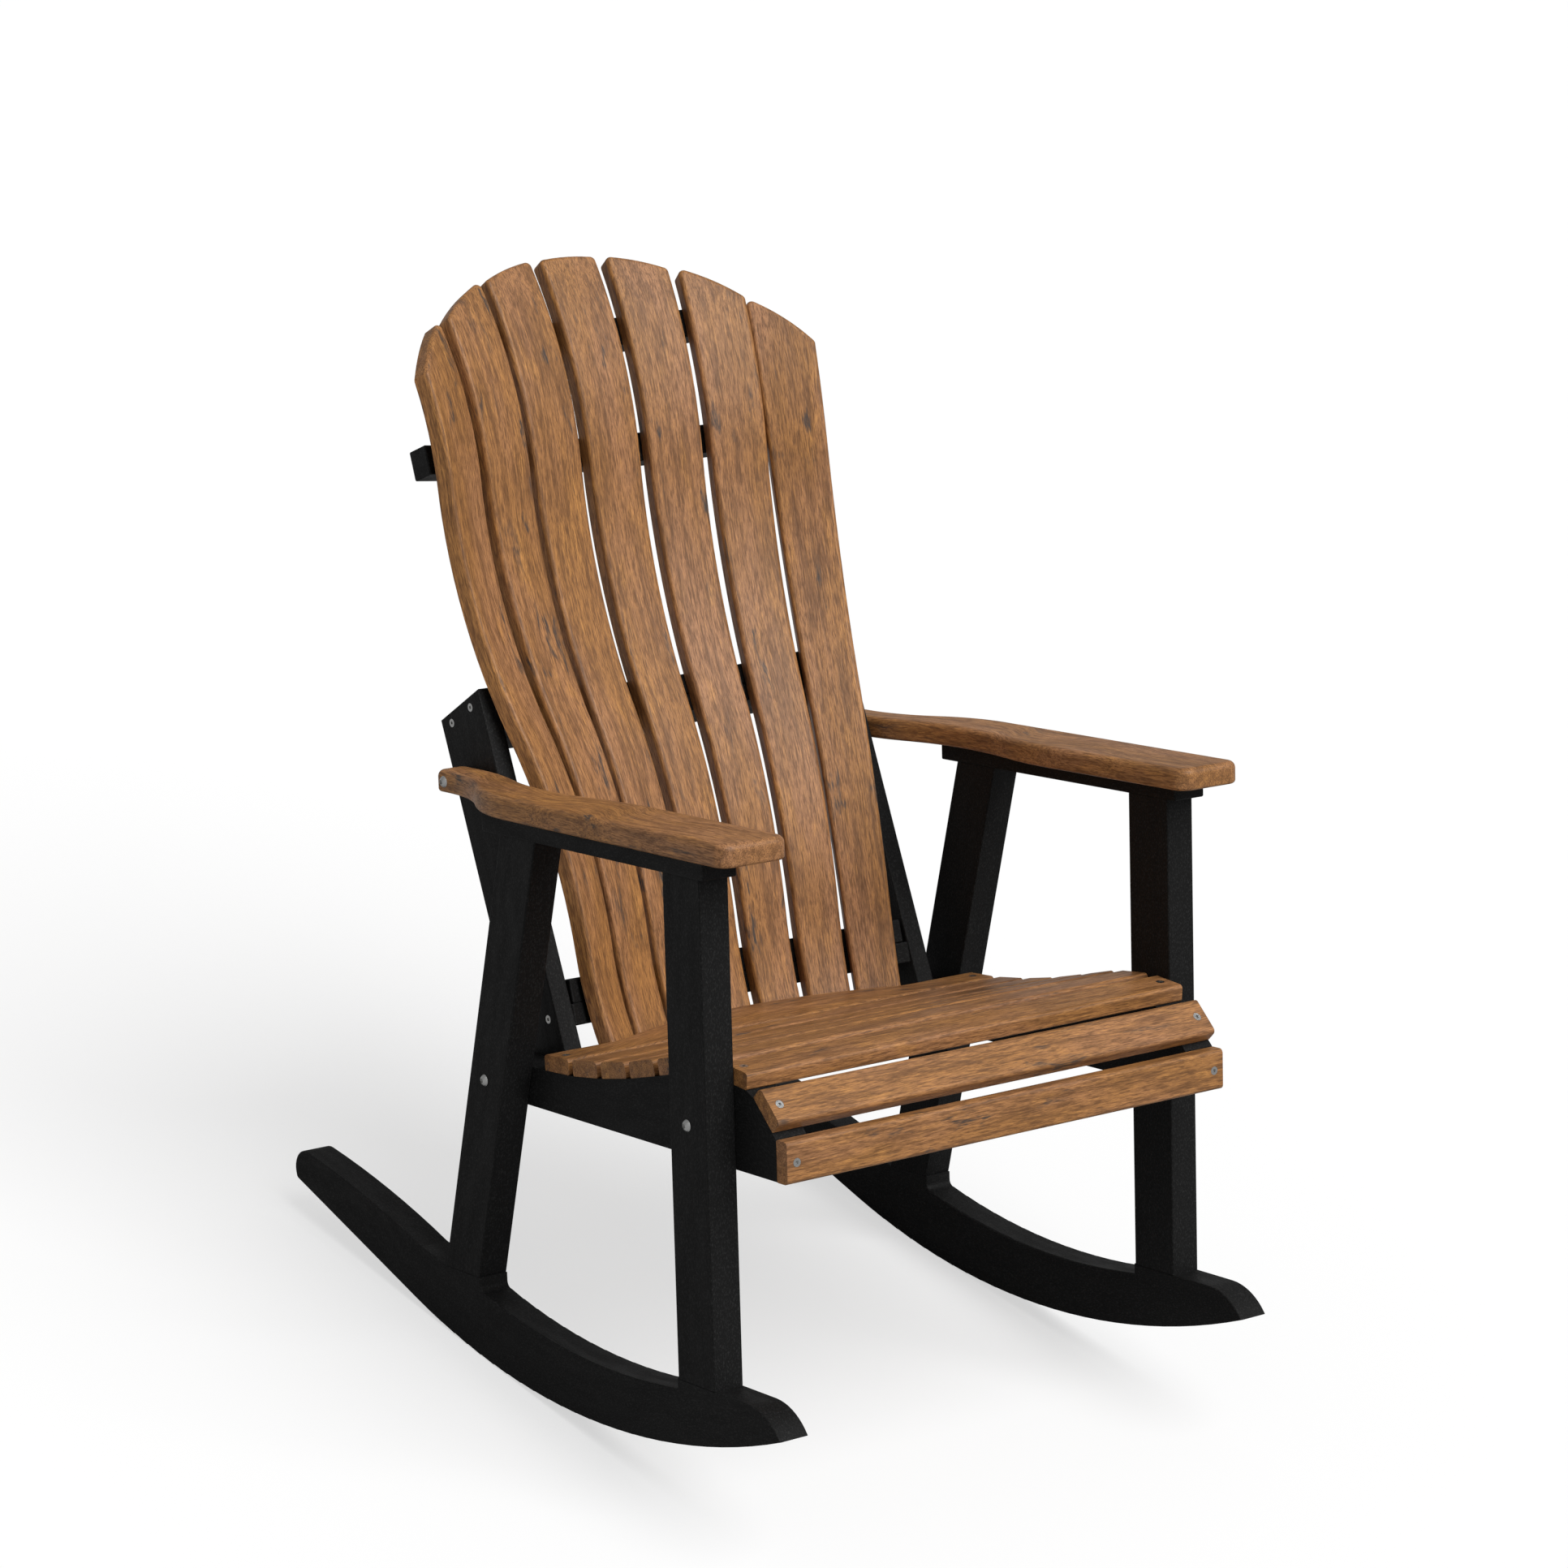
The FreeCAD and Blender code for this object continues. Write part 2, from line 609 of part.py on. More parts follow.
def seat_line():
    """Rear and front underside corners of each seat slat, with its tilt, from back to front."""
    back = size["seat_rear"]
    height = size["seat_rear_height"]
    lines = []
    for number, word in enumerate(SEAT_TILTS):
        tilt = size["seat_tilt_" + word]
        if number:
            between = (lines[-1][4] + tilt) / 2
            back = lines[-1][2] - size["seat_slat_gap"] * cosine(between)
            height = lines[-1][3] + size["seat_slat_gap"] * sine(between)
        front = back - size["seat_slat_width"] * cosine(tilt)
        front_height = height + size["seat_slat_width"] * sine(tilt)
        lines.append((back, height, front, front_height, tilt))
    return lines


seat_lines = seat_line()
front_slat_edge = seat_lines[-1]
nosing_turn = (front_slat_edge[4] + size["nosing_tilt"]) / 2
nosing_back = front_slat_edge[2] - size["nosing_gap"] * cosine(nosing_turn)
nosing_top = front_slat_edge[3] + size["nosing_gap"] * sine(nosing_turn)
nosing_front = nosing_back - size["nosing_width"] * cosine(size["nosing_tilt"])
nosing_low = nosing_top + size["nosing_width"] * sine(size["nosing_tilt"])
apron_rear = nosing_front - size["apron_back"]
apron_top = seat_rail_bottom + size["apron_height"]


# The back slats' side view: four tangent arcs, with the front face as the driving line


def back_line():
    """Joints of the slat's front face: place, height, lean there, and radius to the next."""
    names = ("foot", "waist", "shoulder", "neck")
    bends = (-1, 1, -1, 1)
    back = size["back_foot"]
    height = back_foot_height
    joints = []
    for number, name in enumerate(names):
        lean = size["back_%s_lean" % name]
        radius = bends[number] * size["back_%s_radius" % name]
        joints.append((back, height, lean, radius))
        if number < 3:
            next_lean = size["back_%s_lean" % names[number + 1]]
            back = back - radius * (cosine(next_lean) - cosine(lean))
            height = height + radius * (sine(next_lean) - sine(lean))
    return joints


back_joints = back_line()


def back_front_at(height):
    """Front face of the middle slat at a height, with the sine and cosine of its lean."""
    joint = [one for one in back_joints if one[1].value <= height.value][-1]
    back, low, lean, radius = joint
    lean_sine = sine(lean) + (height - low) / radius
    lean_cosine = root(1 - lean_sine * lean_sine)
    return back - radius * (lean_cosine - cosine(lean)), lean_sine, lean_cosine


def back_rear_at(height):
    """Rear face of the middle slat at a height."""
    front, lean_sine, lean_cosine = back_front_at(height)
    return front + size["back_slat_thickness"] / lean_cosine


def fan_slats():
    """Label, side and size word of each back slat, from the sitter's right to the left."""
    slats = []
    for number in range(7):
        step = number - 3
        word = (None, "one", "two", "three")[abs(step)]
        slats.append(("back_slat_%d" % (number + 1), -1 if step < 0 else 1, word))
    return slats


def fan_place(side, word):
    """Placement text of a back slat in the level frame."""
    if word is None:
        return place(0, 0, 0)
    pivot_back = size["fan_pivot_back"]
    pivot_height = size["fan_pivot_height"]
    swing = "%s * %s" % (turn("z", -side * size["fan_turn_" + word]),
                         turn("y", -side * size["fan_roll_" + word]))
    there = place(side * size["fan_side_" + word], pivot_back - size["fan_ahead_" + word],
                  pivot_height, swing)
    return "%s * %s" % (there, place(0, -pivot_back, -pivot_height))


# Pieces


def make_rocker(name, side, holes):
    """A rocker cut from one board, with flat pads for the legs and a hollow top between them."""
    low = size["sole_low"]
    radius = size["sole_radius"]
    front_pad = size["front_pad_height"]
    rear_pad = size["rear_pad_height"]

    def sole_height(back):
        return radius - root(radius * radius - (back - low) * (back - low))

    toe = size["sole_toe"]
    bend = size["sole_bend"]
    bend_height = sole_height(bend)
    tail_slope = (bend - low) / (radius - bend_height)
    tail_back = size["tail_back"]
    tail_low = bend_height + (tail_back - bend) * tail_slope
    front_step_back = front_leg_rear + size["pad_margin"]
    rear_step_back = rear_leg_toe - size["pad_margin"]
    rise_back = size["rear_leg_heel"] + size["tail_rise_back"]
    rise_height = rear_pad + size["tail_rise_height"]
    step_rounding = size["step_rounding"]
    step_low = rear_pad - size["pad_step"]
    corners = [
        (toe, sole_height(toe)),
        (bend, bend_height),
        (tail_back, tail_low),
        (size["tail_tip_back"], size["tail_tip_top"]),
        (rise_back, rise_height),
        (size["rear_leg_heel"], rear_pad),
        (rear_step_back, rear_pad),
        (rear_step_back, step_low + step_rounding),
        (rear_step_back - step_rounding, step_low),
        (front_step_back, front_pad - size["front_step"]),
        (front_step_back, front_pad),
        (toe + size["nose_length"], front_pad),
    ]
    bends = {
        0: (radius, 1),
        3: (size["tail_top_radius"], 1),
        7: (step_rounding, -1),
        8: (size["waist_radius"], -1),
        11: (size["nose_radius"], 1),
    }
    body = new_body(name)
    sketch = new_sketch(body, name + "_outline", "YZ_Plane")
    add_outline(sketch, corners, bends)
    feature = padded(body, sketch, size["leg_thickness"])
    tip = near(size["tail_tip_back"].value, size["tail_tip_top"].value)
    feature = rounded(body, feature, tip, size["tail_rounding"])
    heel = near(tail_back.value, tail_low.value)
    feature = rounded(body, feature, heel, size["tail_sole_rounding"])
    feature = rounded(body, feature, on_end_faces, size["lumber_rounding"])
    finish(name, body, place(side * leg_middle, 0, 0), holes)


def make_leg(name, side, corners, holes):
    body = new_body(name)
    sketch = new_sketch(body, name + "_outline", "YZ_Plane")
    add_outline(sketch, corners)
    feature = padded(body, sketch, size["leg_thickness"])

    def long_edge(edge, shape):
        return edge.Length > shape.BoundBox.ZLength * 0.8

    feature = rounded(body, feature, long_edge, size["lumber_rounding"])
    finish(name, body, place(side * leg_middle, 0, 0), holes)


def front_leg_corners():
    front = size["front_leg_front"]
    return [
        (front, size["front_pad_height"]),
        (front_leg_rear, size["front_pad_height"]),
        (front_leg_rear, size["leg_top"]),
        (front, size["leg_top"]),
    ]


def rear_leg_corners():
    low = size["rear_pad_height"]
    top = size["leg_top"]
    return [
        (rear_leg_front_at(low), low),
        (rear_leg_rear_at(low), low),
        (rear_leg_rear_at(top), top),
        (rear_leg_front_at(top), top),
    ]


def make_seat_rail(name, side, holes):
    """A side rail whose top follows the undersides of the seat slats."""
    bottom = seat_rail_bottom
    corners = [
        (apron_rear, bottom),
        (size["seat_rail_rear"], bottom),
        (size["seat_rail_rear"], size["seat_rear_height"]),
    ]
    for back, height, front, front_height, tilt in seat_lines:
        corners.append((back, height))
        corners.append((front, front_height))
    corners.append((nosing_back, nosing_top))
    corners.append((nosing_front, nosing_low))
    corners.append((apron_rear, nosing_low - size["apron_back"]))
    body = new_body(name)
    sketch = new_sketch(body, name + "_outline", "YZ_Plane")
    add_outline(sketch, corners)
    feature = padded(body, sketch, size["seat_rail_thickness"])
    feature = rounded(body, feature, on_bottom_of_ends, size["lumber_rounding"])
    finish(name, body, place(side * seat_rail_middle, 0, 0), holes)


def on_bottom_of_ends(edge, shape):
    """Picks the long bottom edges of the two faces square to x."""
    low = edge.BoundBox.ZMax < shape.BoundBox.ZMin + 1e-6
    return low and on_end_faces(edge, shape)


def make_board(name, width, thickness, spot, holes):
    """A flat board across the chair; its own y runs from 0 at the rear edge to -width."""
    body = new_body(name)
    sketch = new_sketch(body, name + "_section", "YZ_Plane")
    add_outline(sketch, [(ZERO - width, ZERO), (ZERO, ZERO), (ZERO, thickness),
                         (ZERO - width, thickness)])
    feature = padded(body, sketch, slat_length)
    half = thickness.value / 2
    feature = rounded(body, feature, along_x_above(half), size["slat_top_rounding"])
    feature = rounded(body, feature, along_x_below(half), size["slat_bottom_rounding"])
    finish(name, body, spot, holes)


def make_rear_slat(name, width, thickness, spot, holes):
    """The rearmost seat slat: its rear edge bulges back to follow the fan of back slats."""
    bulge = size["seat_bulge"]
    bulge_half = size["seat_bulge_half"]
    margin = size["trim_margin"]
    body = new_body(name)
    sketch = new_sketch(body, name + "_section", "YZ_Plane")
    add_outline(sketch, [(ZERO - width, ZERO), (bulge, ZERO), (bulge, thickness),
                         (ZERO - width, thickness)])
    padded(body, sketch, slat_length)
    plan = new_sketch(body, name + "_plan", "XY_Plane")
    past_end = slat_length / 2 + margin
    past_bulge = bulge + margin
    bulge_radius = (bulge_half * bulge_half + bulge * bulge) / (2 * bulge)
    add_outline(plan, [(past_end, ZERO), (bulge_half, ZERO), (-bulge_half, ZERO),
                       (-past_end, ZERO), (-past_end, past_bulge), (past_end, past_bulge)],
                {1: (bulge_radius, 1)})
    feature = trimmed(body, plan)

    def bulge_start(edge, shape):
        upright = edge.BoundBox.ZLength > shape.BoundBox.ZLength - 1e-6
        return upright and abs(abs(edge.CenterOfMass.x) - bulge_half.value) < 1e-6

    def off_the_ends(edge, shape):
        return abs(edge.CenterOfMass.x) < shape.BoundBox.XMax - 1e-6

    def long_top(edge, shape):
        return on_top_face(edge, shape) and off_the_ends(edge, shape)

    def long_bottom(edge, shape):
        return on_bottom_face(edge, shape) and off_the_ends(edge, shape)

    feature = rounded(body, feature, bulge_start, size["seat_bulge_rounding"])
    feature = rounded(body, feature, long_top, size["slat_top_rounding"])
    feature = rounded(body, feature, long_bottom, size["slat_bottom_rounding"])
    finish(name, body, spot, holes)


def upright_corners():
    lean = tangent(size["upright_lean"])
    front_top = size["upright_front_top"]
    top = size["upright_top"]
    bottom = seat_rail_bottom
    level_depth = size["upright_depth"] / cosine(size["upright_lean"])
    front_low = front_top - (top - bottom) * lean
    cut_slope = tangent(size["upright_cut"])
    drop = level_depth * cut_slope / (1 + lean * cut_slope)
    rear_top = front_top + level_depth - drop * lean
    return [
        (front_low, bottom),
        (front_low + level_depth, bottom),
        (rear_top, top - drop),
        (front_top, top),
    ]


def make_upright(name, side, holes):
    body = new_body(name)
    sketch = new_sketch(body, name + "_outline", "YZ_Plane")
    add_outline(sketch, upright_corners())
    feature = padded(body, sketch, size["upright_thickness"])
    feature = rounded(body, feature, on_end_faces, size["lumber_rounding"])
    finish(name, body, place(side * upright_middle, 0, 0), holes)


def make_arm_rail(name, side, holes):
    front = size["front_leg_front"] - size["arm_rail_overhang"]
    rear = rear_leg_rear_at(size["leg_top"]) + size["arm_rail_tail"]
    inner = leg_inner - size["arm_rail_inset"]
    outer = inner + size["arm_rail_width"]
    body = new_body(name)
    sketch = new_sketch(body, name + "_section", "XY_Plane")
    add_outline(sketch, [(side * inner, front), (side * outer, front),
                         (side * outer, rear), (side * inner, rear)])
    feature = padded(body, sketch, size["arm_rail_thickness"], "One side")

    def below_top(edge, shape):
        return edge.BoundBox.ZMin < shape.BoundBox.ZMax - 1

    feature = rounded(body, feature, below_top, size["lumber_rounding"])
    finish(name, body, place(0, 0, size["leg_top"]), holes)


def add_double_curve(corners, bends, x_to, back_to, bend_side):
    """Adds two equal arcs from the last corner that both end in line with y."""
    x_from, back_from = corners[-1]
    run = back_to - back_from
    rise = x_to - x_from
    if rise.value < 0:
        rise = -rise
    radius = (run * run + rise * rise) / (4 * rise)
    bends[len(corners) - 1] = (radius, bend_side)
    corners.append(((x_from + x_to) / 2, (back_from + back_to) / 2))
    bends[len(corners) - 1] = (radius, -bend_side)
    corners.append((x_to, back_to))


def make_armrest(name, side, holes):
    """A flat armrest, wide in front, drawn in with double curves to a narrow tail."""
    tail_inner = seat_rail_inner
    tail_outer = tail_inner + size["arm_tail_width"]
    rear = size["arm_rear"]
    front = size["arm_front"]
    wide_inner = size["arm_front_inner"]
    wide_outer = size["arm_front_outer"]
    bend_side = side.value
    corners = [(tail_inner, rear), (tail_inner, rear - size["arm_tail_flat"])]
    bends = {}
    add_double_curve(corners, bends, size["arm_waist_inner"], size["arm_waist_back"], bend_side)
    add_double_curve(corners, bends, wide_inner, size["arm_front_inner_back"], -bend_side)
    corners += [(wide_inner, front), (wide_outer, front), (wide_outer, size["arm_flare_end"])]
    add_double_curve(corners, bends, tail_outer, size["arm_flare_start"], bend_side)
    corners.append((tail_outer, rear))
    body = new_body(name)
    sketch = new_sketch(body, name + "_outline", "XY_Plane")
    add_outline(sketch, [(side * x, back) for x, back in corners], bends)
    feature = padded(body, sketch, size["arm_thickness"], "One side")

    def corner_edge(back):
        def chosen(edge, shape):
            full = edge.BoundBox.ZLength > shape.BoundBox.ZLength - 1e-6
            return full and abs(edge.CenterOfMass.y - back.value) < 1e-6
        return chosen

    feature = rounded(body, feature, corner_edge(front), size["arm_corner_radius"])
    feature = rounded(body, feature, corner_edge(rear), size["arm_tail_rounding"])
    feature = rounded(body, feature, on_top_face, size["arm_edge_rounding"])
    feature = rounded(body, feature, on_bottom_face, size["arm_bottom_rounding"])
    finish(name, body, place(0, 0, arm_rail_top), holes)


def on_top_face(edge, shape):
    return edge.BoundBox.ZMin > shape.BoundBox.ZMax - 1e-6


def on_bottom_face(edge, shape):
    return edge.BoundBox.ZMax < shape.BoundBox.ZMin + 1e-6


def crown_at(across):
    """Height of the arched top of the back at a distance from the middle."""
    radius = size["crown_radius"]
    return size["crown_height"] - radius + root(radius * radius - across * across)


def back_side_outline():
    """Side view of a back slat: four arcs up the front face and four down the rear face."""
    thick = size["back_slat_thickness"]
    top = size["crown_height"] + thick
    front, top_sine, top_cosine = back_front_at(top)
    corners = []
    rear_corners = []
    bends = {}
    for number, (back, height, lean, radius) in enumerate(back_joints):
        corners.append((back, height))
        rear_corners.append((back + thick * cosine(lean), height - thick * sine(lean)))
        bends[number] = (radius if radius.value > 0 else -radius, -1 if radius.value > 0 else 1)
    corners.append((front, top))
    rear_corners.append((front + thick * top_cosine, top - thick * top_sine))
    count = len(corners)
    rear_corners.reverse()
    for number in range(4):
        back, height, lean, radius = back_joints[3 - number]
        if radius.value > 0:
            bends[count + number] = (radius - thick, 1)
        else:
            bends[count + number] = (thick - radius, -1)
    return corners + rear_corners, bends


def add_face_trim(body, name):
    """Saws the slat's two straight sides and its foot, seen from the front."""
    foot = size["back_slat_foot_half"]
    crown = size["back_slat_crown_half"]
    thick = size["back_slat_thickness"]
    frame = crown + size["trim_margin"]
    low = back_foot_height
    high = size["crown_height"] + 2 * thick
    taper = (crown - foot) / (size["crown_height"] - low)
    top_half = foot + (high - low) * taper
    face = new_sketch(body, name + "_face", "XZ_Plane")
    add_outline(face, [(-frame, low - 2 * thick), (frame, low - 2 * thick),
                       (frame, high + thick), (-frame, high + thick)])
    add_outline(face, [(-foot, low), (foot, low), (top_half, high), (-top_half, high)])
    return trimmed(body, face)


def add_crown_trim(body, name, side, word):
    """Saws the arched end of the slat square to the lean that it has there."""
    crown_height = size["crown_height"]
    crown_front, crown_sine, crown_cosine = back_front_at(crown_height)
    frame = size["back_slat_crown_half"] + size["trim_margin"]

    def up_the_slope(height):
        front = back_front_at(height)[0]
        return (height - crown_height) * crown_cosine + (front - crown_front) * crown_sine

    across = ZERO
    spread = frame
    if word:
        across = size["fan_side_" + word]
        spread = frame * cosine(size["fan_turn_" + word])
    outer = up_the_slope(crown_at(across + spread))
    inner = up_the_slope(crown_at(across - spread))
    left, right = (outer, inner) if side > 0 else (inner, outer)
    high = 2 * size["back_slat_thickness"]
    crown = new_sketch(body, name + "_crown", "XZ_Plane")
    crown.setExpression("AttachmentOffset", place(
        0, crown_height, -crown_front, turn("x", -angle_of_sine(crown_sine))))
    add_outline(crown, [(frame, left), (-frame, right), (-frame, high), (frame, high)],
                {0: (size["crown_radius"] * crown_cosine, 1)})
    return trimmed(body, crown)


def make_back_slat(name, side, word, holes):
    """A bent, tapered slat with an arched top and rounded edges."""
    corners, bends = back_side_outline()
    body = new_body(name)
    sketch = new_sketch(body, name + "_side", "YZ_Plane")
    add_outline(sketch, corners, bends)
    padded(body, sketch, 2 * size["back_slat_crown_half"] + size["trim_margin"])
    add_face_trim(body, name)
    feature = add_crown_trim(body, name, side, word)

    def facing(face):
        u_low, u_high, v_low, v_high = face.ParameterRange
        normal = face.normalAt((u_low + u_high) / 2, (v_low + v_high) / 2)
        if abs(normal.x) > 0.7:
            return "side"
        if abs(normal.y) > abs(normal.z):
            return "front" if normal.y < 0 else "rear"
        return "top" if normal.z > 0 else "foot"

    def between(kinds):
        def chosen(edge, shape):
            faces = shape.ancestorsOfType(edge, Part.Face)
            found = sorted(facing(face) for face in faces)
            return found in kinds
        return chosen

    feature = rounded(body, feature, between([["side", "top"]]), size["back_slat_corner"])
    front_edges = between([["front", "side"], ["front", "top"]])
    feature = rounded(body, feature, front_edges, size["back_slat_front_rounding"])
    finish(name, body, fan_place(side, word), holes)


def crosspiece_front(radius, across):
    """How far the hollow front of a back rail stands forward at a distance from the middle."""
    return root(radius * radius - across * across) - radius


def make_crosspiece(name, half, radius, end_depth, middle_depth, tall, spot, holes):
    """A back rail with a hollow front edge that follows the fan of slats."""
    front = crosspiece_front(radius, half)
    rear = front + end_depth
    rear_sag = middle_depth - rear
    rear_side = 1
    if rear_sag.value < 0:
        rear_sag = -rear_sag
        rear_side = -1
    rear_radius = (half * half + rear_sag * rear_sag) / (2 * rear_sag)
    body = new_body(name)
    sketch = new_sketch(body, name + "_plan", "XY_Plane")
    add_outline(sketch, [(-half, front), (half, front), (half, rear), (-half, rear)],
                {0: (radius, -1), 2: (rear_radius, rear_side)})
    feature = padded(body, sketch, tall, "One side", True)

    def every_edge(edge, shape):
        return True

    feature = rounded(body, feature, every_edge, size["lumber_rounding"])
    finish(name, body, spot, holes)


# Where the fasteners sit, as placements in the level frame


def facing_side(side):
    """Rotation that points a fastener's head away from the chair's middle."""
    return turn("y", side * RIGHT_ANGLE)


def board_places():
    """Placement text of each seat slat, from back to front."""
    return [place(0, back, height, turn("x", -tilt))
            for back, height, front, front_height, tilt in seat_lines]


def crosspiece_place(height, lean, gap):
    return place(0, back_rear_at(height) + gap, height, turn("x", -lean))


def fan_across(side, word, height):
    """Sideways place of a back slat's rear face at a height."""
    if word is None:
        return ZERO
    behind = back_rear_at(height) - size["fan_pivot_back"]
    above = height - size["fan_pivot_height"]
    outward = behind * sine(size["fan_turn_" + word]) - above * sine(size["fan_roll_" + word])
    inset = size["outer_screw_inset"] if word == "three" else ZERO
    return side * (size["fan_side_" + word] + outward - inset)


class BackRail:
    """The numbers of one rail or board of the back and the place of its front top edge."""

    def __init__(self, name, half, radius, end_depth, middle_depth, tall, spot):
        self.name = name
        self.half = half
        self.radius = radius
        self.end_depth = end_depth
        self.middle_depth = middle_depth
        self.tall = tall
        self.spot = spot

    def local(self, across, behind, up, rotation=None):
        """Placement text of a point given from the hollow front edge."""
        front = crosspiece_front(self.radius, across)
        return "%s * %s" % (self.spot, place(across, front + behind, up, rotation))

    def make(self, holes):
        make_crosspiece(self.name, self.half, self.radius, self.end_depth,
                        self.middle_depth, self.tall, self.spot, holes)


def back_rails():
    """The six pieces that run across behind the back slats."""
    slim = size["slim_rail_tall"]
    rails = {}
    for word, name in (("top", "top_back_rail"), ("upper", "upper_back_rail")):
        start = word + "_rail_"
        depth = size[start + "depth"]
        spot = crosspiece_place(rail_heights[word], size[start + "lean"], size[start + "gap"])
        rails[word] = BackRail(name, size[start + "half"], size[start + "radius"],
                               depth, depth, slim, spot)
    strip_half = upright_inner - size["strip_end_gap"]
    board = crosspiece_place(size["middle_board_height"], size["upright_cut"],
                             size["middle_board_gap"])
    strip = "%s * %s" % (board, place(0, size["middle_strip_shift"], -size["middle_board_tall"]))
    lower_strip = crosspiece_place(size["lower_strip_height"], size["lower_board_lean"],
                                   size["lower_strip_gap"])
    lower_board = "%s * %s" % (
        lower_strip, place(0, size["lower_board_shift"], -size["lower_strip_tall"]))
    for word, kind, half, spot in (("middle", "board", upright_inner, board),
                                   ("middle", "strip", strip_half, strip),
                                   ("lower", "strip", strip_half, lower_strip),
                                   ("lower", "board", upright_inner, lower_board)):
        start = "%s_%s_" % (word, kind)
        rails[start[:-1]] = BackRail(
            "%s_back_%s" % (word, kind), half, size[start + "radius"],
            size[word + "_board_end_depth"], size[word + "_board_depth"],
            size[start + "tall"], spot)
    return rails


def slat_screw_spots(rail, height, words):
    """Screws that run forwards through a back rail into the slats."""
    head = size["back_screw_length"] - size["screw_bite"]
    spots = []
    for name, side, word in fan_slats():
        if word in words:
            across = fan_across(side, word, height)
            spots.append(rail.local(across, head, -rail.tall / 2, turn("x", -RIGHT_ANGLE)))
    return spots


fastener_sets = []


def fastened(name, fastener, spots):
    """Notes a group of fasteners at its spots and gives the holes that it sits in."""
    shape, hole = fastener
    fastener_sets.append((name, shape, spots))
    return copies(name + "_holes", hole, spots)


def both_sides(board, across, back, up, rotation=None):
    """Two spots on a board, one on each side of the chair."""
    return ["%s * %s" % (board, place(side * across, back, up, rotation))
            for word, side in SIDES]


def seat_fasteners(boards, nosing, apron, screw):
    """Screws of the seat: sunk from above in the end slats, from below in the others."""
    middle = -size["seat_slat_width"] / 2
    across = size["seat_screw_side"]
    top_spots = []
    for board in (boards[0], boards[-1]):
        top_spots += both_sides(board, across, middle, size["seat_slat_thickness"])
    under_spots = []
    sunk = size["screw_bite"] - size["screw_length"]
    for board in boards[1:-1]:
        under_spots += both_sides(board, seat_rail_middle, middle, sunk, turn("x", HALF_TURN))
    return {
        "seat": fastened("seat_screws", screw, top_spots),
        "under": fastened("seat_under_screws", screw, under_spots),
        "nosing": fastened("nosing_screws", screw, both_sides(
            nosing, across, -size["nosing_width"] / 2, size["nosing_thickness"])),
        "apron": fastened("apron_screws", screw, both_sides(
            apron, across, -size["apron_height"] / 2, size["apron_thickness"])),
    }


def bolt_fasteners():
    """Bolts through the legs and the rear ends of the arms, with their nuts."""
    arm_height = arm_rail_top + size["arm_thickness"] / 2
    arm_outer = seat_rail_inner + size["arm_tail_width"]
    holes = {}
    for word, outer, inner, back, height in (
            ("front_leg", leg_outer, seat_rail_inner,
             size["front_bolt_back"], seat_rail_bottom + size["front_bolt_rise"]),
            ("rear_leg", leg_outer, upright_inner,
             size["rear_bolt_back"], seat_rail_bottom + size["rear_bolt_rise"]),
            ("arm", arm_outer, upright_inner,
             size["arm_rear"] - size["arm_bolt_inset"], arm_height)):
        bolt, nut, hole = make_bolt(word + "_bolt", outer - inner)
        spots = [place(side * outer, back, height, facing_side(side)) for name, side in SIDES]
        holes[word] = fastened(word + "_bolts", (bolt, hole), spots)
        fastener_sets.append((word + "_nuts", nut, spots))
    return holes


def frame_fasteners(short_screw, screw):
    """Screws that join the legs to the rockers and to the arm rails, and the armrests."""
    long_screw = make_screw("rocker_screw", size["rocker_screw_length"])
    spread = size["leg_screw_spread"]
    leg_top = size["leg_top"]
    rear_low = size["rear_pad_height"]
    front_middle = size["front_leg_front"] + size["leg_depth"] / 2
    half_level = rear_leg_level_depth / 2
    feet = ((front_middle, size["front_pad_height"]),
            (rear_leg_front_at(rear_low) + half_level, rear_low))
    tops = (front_middle, rear_leg_front_at(leg_top) + half_level)
    head_drop = size["rocker_screw_bite"] - size["rocker_screw_length"]
    level = place(0, 0, 0)
    down = turn("x", HALF_TURN)
    rocker_spots = []
    rail_spots = []
    for shift in (-spread, spread):
        for middle, pad in feet:
            rocker_spots += both_sides(level, leg_middle, middle + shift, pad + head_drop, down)
        for middle in tops:
            rail_spots += both_sides(level, leg_middle, middle + shift, arm_rail_top)
    arm_spots = []
    for step in range(3):
        back = size["arm_screw_front"] + step * size["arm_screw_step"]
        arm_spots += both_sides(level, leg_middle, back, leg_top, down)
    return {
        "rocker": fastened("rocker_screws", long_screw, rocker_spots),
        "arm_rail": fastened("arm_rail_screws", screw, rail_spots),
        "arm": fastened("arm_screws", short_screw, arm_spots),
    }


